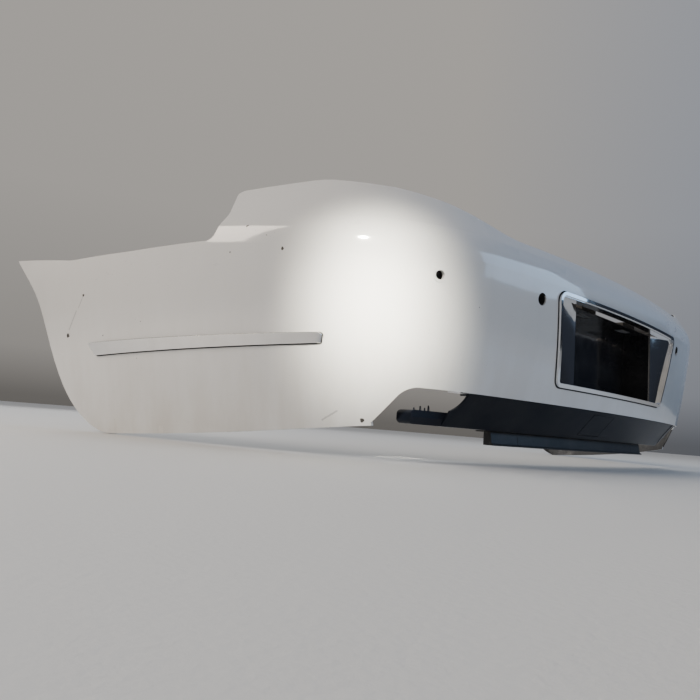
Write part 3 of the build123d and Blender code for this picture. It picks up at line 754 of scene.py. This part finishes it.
@dataclass
class Studio:
    """Pale floor, even surroundings, soft boxes and the camera."""

    floor_half: float = 9.0
    floor_drop: float = 0.6 * MM
    floor_colour: Colour = (0.74, 0.74, 0.73, 1.0)
    floor_cloud: Colour = (0.68, 0.68, 0.675, 1.0)
    warm: Colour = (0.92, 0.87, 0.81, 1.0)
    cool: Colour = (0.36, 0.52, 0.82, 1.0)
    flag: Colour = (0.03, 0.03, 0.035, 1.0)
    horizon: Colour = (0.05, 0.045, 0.04, 1.0)
    world_strength: float = 0.50
    camera_place: tuple[float, float, float] = (-1.2949, -0.9837, 0.051)
    camera_heading: float = 42.53
    camera_rise: float = 7.13
    camera_roll: float = 4.54
    camera_lens: float = 30.76
    boxes: tuple[SoftBox, ...] = field(default_factory=lambda: (
        SoftBox(
            "key", (-2.1, -1.65, 1.15), (0.10, 0.13), 0.85, (1.0, 0.94, 0.80), (-0.665, -0.345, 0.26), 7.5
        ),
        SoftBox("wing", (-2.9, 0.3, 1.5), (0.9, 1.5), 36.0, (1.0, 0.87, 0.73), (-0.9, 0.15, 0.2)),
        SoftBox("top", (0.3, 0.5, 2.7), (3.2, 1.0), 16.0, (0.90, 0.95, 1.0)),
        SoftBox("fill", (1.6, -2.6, 1.2), (1.6, 1.2), 13.0, (0.45, 0.68, 1.0), (0.0, -0.4, 0.25)),
        SoftBox("back", (-0.4, 3.0, 1.8), (3.0, 1.4), 28.0),
    ))

    def build(self) -> None:
        """Make the whole studio."""
        self._floor()
        self._surroundings()
        for box in self.boxes:
            box.build()
        self._camera()

    def _floor(self) -> None:
        """Lay the floor just under the cover."""
        shape = bmesh.new()
        bmesh.ops.create_grid(shape, x_segments=1, y_segments=1, size=self.floor_half)
        bmesh.ops.translate(shape, verts=shape.verts, vec=(0, 0, -self.floor_drop))
        floor = mesh_object("floor", shape)
        material, graph = new_material("floor")
        cloud = graph.noise(0.6, 4.0, 0.5)
        pale = graph.blend(self.floor_colour, self.floor_cloud, cloud * 0.4)
        grit = graph.bump(graph.noise(0.004, 3.0), 0.0004)
        surface(graph, {"Base Color": pale, "Roughness": 0.75, "Normal": grit})
        floor.data.materials.append(material)

    def _surroundings(self) -> None:
        """Pale light from all around, warm beyond the near wing and cool behind the rear face."""
        world = bpy.data.worlds.new("studio")
        bpy.context.scene.world = world
        world.use_nodes = True
        graph = Graph(world.node_tree)
        direction = graph.value(graph.add("ShaderNodeTexCoord"), "Generated")
        parts = graph.add("ShaderNodeSeparateXYZ", None, {0: direction})
        rise = graph.value(parts, "Z")
        levels = ((0.44, 0.22), (0.505, 0.30), (0.54, 0.62), (0.66, 0.86), (1.0, 1.0))
        glow = graph.ramp(rise * 0.5 + 0.5, *levels)
        across = graph.value(parts, "X")
        facing = across * 0.55 - graph.value(parts, "Y") * 0.83
        tone = graph.blend(self.warm, self.cool, facing.above(-0.05, 0.80))
        settings = {"data_type": "RGBA", "blend_type": "MULTIPLY"}
        light = graph.value(graph.add("ShaderNodeMix", settings, {0: 1.0, 6: glow, 7: tone}), 2)
        # dark flags stand low on the far right, where the bright trim looks
        flags = facing.above(0.55, 0.15) * across.above(0.35, 0.10) * (1.0 - rise.above(0.16, 0.10))
        light = graph.blend(light, self.flag, flags * 0.9)
        # and a dark strip of them along the horizon beyond the near wing
        strip = (1.0 - facing.above(-0.88, 0.08)) * rise.above(-0.14, 0.03) * (1.0 - rise.above(0.07, 0.04))
        light = graph.blend(light, self.horizon, strip * 0.85)
        inputs = {"Color": light, "Strength": self.world_strength}
        background = graph.add("ShaderNodeBackground", None, inputs)
        graph.add("ShaderNodeOutputWorld", None, {"Surface": graph.value(background)})

    def _camera(self) -> None:
        """Set up the camera from its place, heading, rise and roll."""
        lens = bpy.data.cameras.new("camera")
        lens.lens = self.camera_lens
        lens.sensor_width = 36.0
        lens.clip_start, lens.clip_end = 0.01, 60.0
        camera = bpy.data.objects.new("camera", lens)
        bpy.context.scene.collection.objects.link(camera)
        turn = (
            Matrix.Rotation(math.radians(-self.camera_heading), 4, "Z")
            @ Matrix.Rotation(math.radians(90.0 + self.camera_rise), 4, "X")
            @ Matrix.Rotation(math.radians(self.camera_roll), 4, "Z")
        )
        camera.matrix_world = Matrix.Translation(self.camera_place) @ turn
        bpy.context.scene.camera = camera


# ---- mesh helpers --------------------------------------------------------------------------
def mesh_object(name: str, shape: bmesh.types.BMesh, smooth: bool = True) -> bpy.types.Object:
    """Turn a bmesh into an object at the origin.

    Args:
        name: the object's name.
        shape: the bmesh, which is freed.
        smooth: shade smooth.

    Returns:
        The object.
    """
    mesh = bpy.data.meshes.new(name)
    for face in shape.faces:
        face.smooth = smooth
    shape.to_mesh(mesh)
    shape.free()
    piece = bpy.data.objects.new(name, mesh)
    bpy.context.scene.collection.objects.link(piece)
    return piece


def dress(node: str, material: bpy.types.Material) -> None:
    """Give a CAD node a material.

    Args:
        node: the node's name.
        material: its finish.
    """
    part = NODES[node]
    if not part.data.materials:
        part.data.materials.append(material)
    for slot in part.material_slots:
        slot.material = material


def merged_copy(node: str) -> bmesh.types.BMesh:
    """A CAD node's shape with its loose triangles joined and flat faces made whole.

    Args:
        node: the node's name.

    Returns:
        The bmesh.
    """
    shape = bmesh.new()
    shape.from_mesh(NODES[node].data)
    bmesh.ops.remove_doubles(shape, verts=shape.verts, dist=0.01 * MM)
    bmesh.ops.dissolve_limit(
        shape, angle_limit=math.radians(0.4), verts=shape.verts, edges=shape.edges, delimit={"NORMAL"}
    )
    return shape


def softened(node: str, radius: float, segments: int = 2, angle: float = 38.0) -> bpy.types.Object:
    """A copy of a CAD node with its sharp edges rounded. It replaces the node.

    Args:
        node: the node's name.
        radius: width of the rounding, in metres.
        segments: facets across it.
        angle: edges that turn more than this many degrees are rounded.

    Returns:
        The piece.
    """
    shape = merged_copy(node)
    sharp = [e for e in shape.edges if e.is_manifold and abs(e.calc_face_angle(0.0)) > math.radians(angle)]
    bmesh.ops.bevel(
        shape, geom=sharp, offset=radius, segments=segments, profile=0.5, affect="EDGES", material=-1,
        clamp_overlap=True, miter_outer="ARC",
    )
    bmesh.ops.triangulate(shape, faces=[f for f in shape.faces if len(f.verts) > 4])
    piece = mesh_object(node + "_detailed", shape)
    weighted = piece.modifiers.new("even_normals", "WEIGHTED_NORMAL")
    weighted.weight = 80
    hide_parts(node)
    return piece


def islands(node: str) -> list[tuple[Vector, Vector]]:
    """Lowest and highest corner of each separate solid of a CAD node.

    Args:
        node: the node's name.

    Returns:
        One pair of corners for each solid.
    """
    shape = merged_copy(node)
    shape.verts.ensure_lookup_table()
    seen: set[int] = set()
    found = []
    for start in shape.verts:
        if start.index in seen:
            continue
        queue, members = [start], []
        seen.add(start.index)
        while queue:
            vert = queue.pop()
            members.append(vert.co.copy())
            for edge in vert.link_edges:
                other = edge.other_vert(vert)
                if other.index not in seen:
                    seen.add(other.index)
                    queue.append(other)
        low = Vector([min(co[i] for co in members) for i in range(3)])
        high = Vector([max(co[i] for co in members) for i in range(3)])
        found.append((low, high))
    shape.free()
    return found


def turned(profile: Sequence[tuple[float, float]], segments: int = 24) -> bmesh.types.BMesh:
    """A solid of revolution about Z, with both ends of its profile on the axis.

    Args:
        profile: radius and height of each point, in millimetres, from the bottom up.
        segments: facets around.

    Returns:
        The bmesh.
    """
    shape = bmesh.new()
    points = [shape.verts.new((radius * MM, 0.0, height * MM)) for radius, height in profile]
    edges = [shape.edges.new(pair) for pair in zip(points, points[1:])]
    bmesh.ops.spin(
        shape, geom=points + edges, cent=(0, 0, 0), axis=(0, 0, 1), angle=math.tau, steps=segments,
        use_merge=True,
    )
    bmesh.ops.remove_doubles(shape, verts=shape.verts, dist=0.002 * MM)
    bmesh.ops.recalc_face_normals(shape, faces=shape.faces)
    return shape


def planted(name: str, pattern: bmesh.types.BMesh, places: Iterable[Matrix]) -> bpy.types.Object:
    """One piece made of a copy of a shape at each place.

    Args:
        name: the piece's name.
        pattern: the shape, which is freed.
        places: where each copy goes.

    Returns:
        The piece.
    """
    mesh = bpy.data.meshes.new(name + "_pattern")
    pattern.to_mesh(mesh)
    pattern.free()
    shape = bmesh.new()
    for place in places:
        before = len(shape.verts)
        shape.from_mesh(mesh)
        shape.verts.ensure_lookup_table()
        bmesh.ops.transform(shape, matrix=place, verts=shape.verts[before:])
    bpy.data.meshes.remove(mesh)
    return mesh_object(name, shape)


def finish_piece(
    piece: bpy.types.Object, material: bpy.types.Material, body: str = COVER
) -> None:
    """Dress a new piece and let it ride.

    Args:
        piece: the piece.
        material: its finish.
        body: the CAD body it moves with.
    """
    if not piece.data.materials:
        piece.data.materials.append(material)
    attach(piece, body)
    LOG.info("%s: %d faces", piece.name, len(piece.data.polygons))


# ---- sub-assemblies ------------------------------------------------------------------------
Finishes = dict[str, bpy.types.Material]


@dataclass
class PaintedCover:
    """The painted shell, with bare plastic on its inner side."""

    node: str = "bumper_skin"
    middle_y: float = 0.20
    middle_z: float = 0.25
    level_share: float = 0.5
    inner_below: float = -0.15

    def build(self, finishes: Finishes) -> None:
        """Copy the shell, sort its faces into outer and inner, and dress it.

        Args:
            finishes: the materials, by slot.
        """
        mesh = NODES[self.node].data.copy()
        piece = bpy.data.objects.new("painted_shell", mesh)
        bpy.context.scene.collection.objects.link(piece)
        mesh.materials.clear()
        mesh.materials.append(finishes["white_paint"])
        mesh.materials.append(InnerFinish().build())
        for face in mesh.polygons:
            face.material_index = int(self._is_inner(face.center, face.normal))
        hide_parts(self.node)
        finish_piece(piece, finishes["white_paint"])

    def _is_inner(self, centre: Vector, normal: Vector) -> bool:
        """Whether a face looks into the hollow of the cover.

        Args:
            centre: the face's centre.
            normal: the face's normal.

        Returns:
            True on the inner side.
        """
        outward = Vector((centre.x, centre.y - self.middle_y, 0.0)).normalized()
        outward.z = self.level_share if centre.z > self.middle_z else -self.level_share
        return normal.dot(outward) < self.inner_below


@dataclass
class PlateRecess:
    """Bright surround, gloss box and lamps."""

    rim_round: float = 1.5 * MM
    box_round: float = 1.2 * MM
    housing_round: float = 0.9 * MM
    flute_pitch: float = 2.0 * MM
    flute_depth: float = 0.6 * MM

    def build(self, finishes: Finishes) -> None:
        """Build every piece of the recess.

        Args:
            finishes: the materials, by slot.
        """
        finish_piece(softened("plate_surround", self.rim_round, 3), finishes["bright_trim"])
        finish_piece(softened("plate_box", self.box_round, 3), finishes["gloss_black"])
        for side in SIDES:
            housing = softened("plate_lamp_housing_" + side, self.housing_round)
            finish_piece(housing, finishes["black_plastic"])
            self._lens(side, finishes)
            self._bulb(side, finishes)

    def _lens(self, side: str, finishes: Finishes) -> None:
        """Fluted lens of one lamp: every second line across its underside is raised.

        Args:
            side: left or right.
            finishes: the materials.
        """
        low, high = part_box("plate_lamp_lens_" + side)
        count = int((high.x - low.x) / self.flute_pitch)
        shape = bmesh.new()
        bmesh.ops.create_cube(shape, size=1.0)
        bmesh.ops.scale(shape, vec=high - low, verts=shape.verts)
        bmesh.ops.translate(shape, vec=(low + high) / 2, verts=shape.verts)
        half_width = 0.5 * (high.x - low.x)
        lengthwise = [e for e in shape.edges if abs((e.verts[0].co - e.verts[1].co).x) > half_width]
        bmesh.ops.subdivide_edges(shape, edges=lengthwise, cuts=2 * count - 1, use_grid_fill=True)
        for vert in shape.verts:
            step = round((vert.co.x - low.x) / (high.x - low.x) * 2 * count)
            if step % 2 and vert.co.z < (low.z + high.z) / 2:
                vert.co.z += self.flute_depth
        lens = mesh_object("lamp_lens_" + side, shape, smooth=False)
        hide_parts("plate_lamp_lens_" + side)
        finish_piece(lens, finishes["clear_lens"])

    def _bulb(self, side: str, finishes: Finishes) -> None:
        """Festoon bulb of one lamp: a glass tube with two metal caps.

        Args:
            side: left or right.
            finishes: the materials.
        """
        low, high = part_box("plate_lamp_bulb_" + side)
        middle = (low + high) / 2
        half, radius = (high.x - low.x) / 2 / MM, (high.z - low.z) / 2 / MM
        across = Matrix.Translation(middle) @ Matrix.Rotation(math.pi / 2, 4, "Y")
        glass = [(0, -half + 6), (radius - 0.4, -half + 6), (radius, -half + 8), (radius, half - 8),
                 (radius - 0.4, half - 6), (0, half - 6)]
        tube = planted("bulb_glass_" + side, turned(glass), [across])
        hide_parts("plate_lamp_bulb_" + side)
        finish_piece(tube, finishes["bulb_glass"])
        cap = [(0, 0), (1.2, 0.3), (radius - 0.6, 2.2), (radius - 0.2, 3.0), (radius - 0.2, 5.8), (0, 5.8)]
        ends = [across @ Matrix.Translation((0, 0, -half * MM)),
                across @ Matrix.Rotation(math.pi, 4, "X") @ Matrix.Translation((0, 0, -half * MM))]
        caps = planted("bulb_caps_" + side, turned(cap), ends)
        finish_piece(caps, finishes["zinc_steel"])


@dataclass
class LowerParts:
    """Dark valance, tow eye flap and tray."""

    soft: float = 0.9 * MM
    flap_soft: float = 0.5 * MM
    tray_soft: float = 0.6 * MM
    arm_top: float = 85.0 * MM
    tab_wall: float = 2.2 * MM
    tab_root: float = 2.0 * MM
    tab_setback: float = 5.0 * MM
    tab_turn: float = 0.42
    tabs: tuple[tuple[float, float, float], ...] = (
        (0.525, 5.0, 4.0), (0.514, 7.0, 7.5), (0.506, 4.0, 5.0), (0.499, 8.0, 9.5)
    )

    def build(self, finishes: Finishes) -> None:
        """Build every lower piece.

        Args:
            finishes: the materials, by slot.
        """
        finish_piece(softened("lower_valance", self.soft), finishes["dark_valance"])
        flap = softened("tow_flap", self.flap_soft)
        finish_piece(flap, finishes["dark_valance"], FLAP)
        for node in ("tray_centre", "tray_end_left", "tray_end_right"):
            finish_piece(softened(node, self.tray_soft), finishes["tray_plastic"])
        for sign, side in ((-1, "left"), (1, "right")):
            self._broken_tabs(sign, side, finishes)

    def _broken_tabs(self, sign: int, side: str, finishes: Finishes) -> None:
        """Stumps of broken clip tabs on the arm, each with a place across, a width and a height.

        Args:
            sign: -1 on the left and 1 on the right.
            side: left or right.
            finishes: the materials.
        """
        arm = NODES["lower_valance"].data
        corners, rings = [v.co for v in arm.vertices], [tuple(f.vertices) for f in arm.polygons]
        faces = BVHTree.FromPolygons(corners, rings)
        shape = bmesh.new()
        for place, width, height in self.tabs:
            behind = Vector((sign * place, 2 * CAD_BOX[0].y, self.arm_top - self.tab_root))
            foot = faces.ray_cast(behind, Vector((0, 1, 0)))[0]
            made = bmesh.ops.create_cube(shape, size=1.0)["verts"]
            for vert in made:
                upper = vert.co.z > 0
                lean = 0.55 if upper and vert.co.x > 0 else 1.0
                vert.co.x *= width * MM * (0.6 if upper else 1.0)
                vert.co.y *= self.tab_wall
                vert.co.z = height * MM * lean if upper else -self.tab_root
            turn = Matrix.Rotation(-sign * self.tab_turn, 4, "Z")
            spot = Matrix.Translation((foot.x, foot.y + self.tab_setback, self.arm_top))
            bmesh.ops.transform(shape, matrix=spot @ turn, verts=made)
        bmesh.ops.bevel(
            shape, geom=shape.edges[:], offset=0.3 * MM, segments=2, profile=0.5, affect="EDGES",
            material=-1,
        )
        finish_piece(mesh_object("broken_tabs_" + side, shape), finishes["dark_valance"])


@dataclass
class Trim:
    """Bright side strips, sensor rings and holders, and the black carriers."""

    strip_round: float = 3.0 * MM
    ring_round: float = 0.4 * MM
    carrier_round: float = 0.5 * MM
    rail_round: float = 0.6 * MM
    carriers: tuple[str, ...] = (
        "sensor_holder_inner_", "sensor_holder_outer_", "side_guide_", "lamp_corner_bracket_"
    )

    def build(self, finishes: Finishes) -> None:
        """Build the trim of both sides.

        Args:
            finishes: the materials, by slot.
        """
        for side in SIDES:
            strip = softened("side_strip_" + side, self.strip_round, 5)
            finish_piece(strip, finishes["bright_trim"])
            ring = softened("sensor_ring_" + side, self.ring_round)
            finish_piece(ring, finishes["white_paint"])
            for node in self.carriers:
                piece = softened(node + side, self.carrier_round)
                finish_piece(piece, finishes["black_plastic"])
        rail = softened("top_support_rail", self.rail_round)
        finish_piece(rail, finishes["black_plastic"])


@dataclass
class Fasteners:
    """Screws, push clips and rivets, one turned shape planted at each place."""

    thread_turns: int = 7

    def build(self, finishes: Finishes) -> None:
        """Build every fastener.

        Args:
            finishes: the materials, by slot.
        """
        self._plant("valance_screws", self._screw(), 3.0, finishes["zinc_steel"])
        clip = [(0, -9), (1.3, -9), (2.7, -6.6), (2.3, -5.4), (2.8, -4.0), (2.3, -2.6), (2.8, 0), (5.9, 0),
                (6.0, 0.7), (5.4, 1.7), (3.5, 2.2), (3.4, 1.6), (2.9, 1.6), (2.8, 2.2), (0, 2.4)]
        self._plant("tray_clips", turned(clip), 2.4, finishes["black_plastic"])
        rivet = [(0, 0), (4.4, 0), (4.5, 0.4), (3.9, 1.3), (2.3, 1.7), (2.2, 1.2), (1.9, 1.2), (1.8, 1.6),
                 (0, 1.8)]
        self._plant("top_rivets", turned(rivet), 1.8, finishes["black_plastic"])

    def _screw(self) -> bmesh.types.BMesh:
        """Pan-head screw with a thread and a round socket.

        Returns:
            The shape, with the underside of its head at its origin.
        """
        profile = [(0, -12.0), (0.8, -11.4)]
        for turn in range(self.thread_turns):
            height = -10.6 + turn * 1.3
            profile += [(1.7, height), (2.2, height + 0.45), (1.7, height + 0.9)]
        profile += [(2.2, -0.6), (2.3, 0.0), (4.9, 0.0), (5.0, 0.5), (4.7, 1.6), (3.9, 2.4), (2.9, 2.8),
                    (1.9, 2.8), (1.7, 2.5), (1.6, 1.4), (0, 1.2)]
        return turned(profile)

    def _plant(self, node: str, pattern: bmesh.types.BMesh, head: float, material: bpy.types.Material) -> None:
        """Put a shape, with the underside of its head at its origin, in place of each solid of a node.

        Args:
            node: the CAD node.
            pattern: the shape.
            head: height of the head, in millimetres.
            material: its finish.
        """
        places = [
            Matrix.Translation(((low.x + high.x) / 2, (low.y + high.y) / 2, high.z - head * MM))
            for low, high in islands(node)
        ]
        piece = planted(node + "_detailed", pattern, places)
        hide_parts(node)
        finish_piece(piece, material)


FINISH_OF = {
    "white_paint": PaintFinish(),
    "bright_trim": ChromeFinish(),
    "black_rubber": RubberFinish(),
    "gloss_black": GlossBlackFinish(),
    # the blue tint in this base colour is a painted sheen of cool sky light on plain near-black plastic
    "dark_valance": PlasticFinish(
        "dark_valance", (0.004, 0.006, 0.012, 1.0), Grain.SMOOTH, rough=0.30, relief=0.00003,
        dust=0.07, wear=(0.07, 0.075, 0.085, 1.0), gloss=0.22,
    ),
    "tray_plastic": PlasticFinish(
        "tray_plastic", (0.012, 0.012, 0.013, 1.0), Grain.LEATHER, rough=0.42, relief=0.00015, dust=0.20,
    ),
    "black_plastic": PlasticFinish("black_plastic", (0.016, 0.016, 0.017, 1.0), Grain.FINE, 0.46, 0.00012),
    "clear_lens": GlassFinish("clear_lens", (0.90, 0.92, 0.93, 1.0), 0.8),
    "bulb_glass": GlassFinish("bulb_glass", (0.93, 0.93, 0.90, 1.0), 0.0),
    "zinc_steel": SteelFinish(),
}


def main() -> None:
    """Build every sub-assembly in order."""
    logging.basicConfig(level=logging.INFO, format="%(name)s %(message)s")
    finishes = {slot: finish.build() for slot, finish in FINISH_OF.items()}
    for part in frame["record"]["subparts"]:
        dress(part["node"], finishes[part["material_slot"]])
    for assembly in (PaintedCover(), PlateRecess(), LowerParts(), Trim(), Fasteners()):
        assembly.build(finishes)
    Studio().build()


if __name__ == "__main__":
    main()
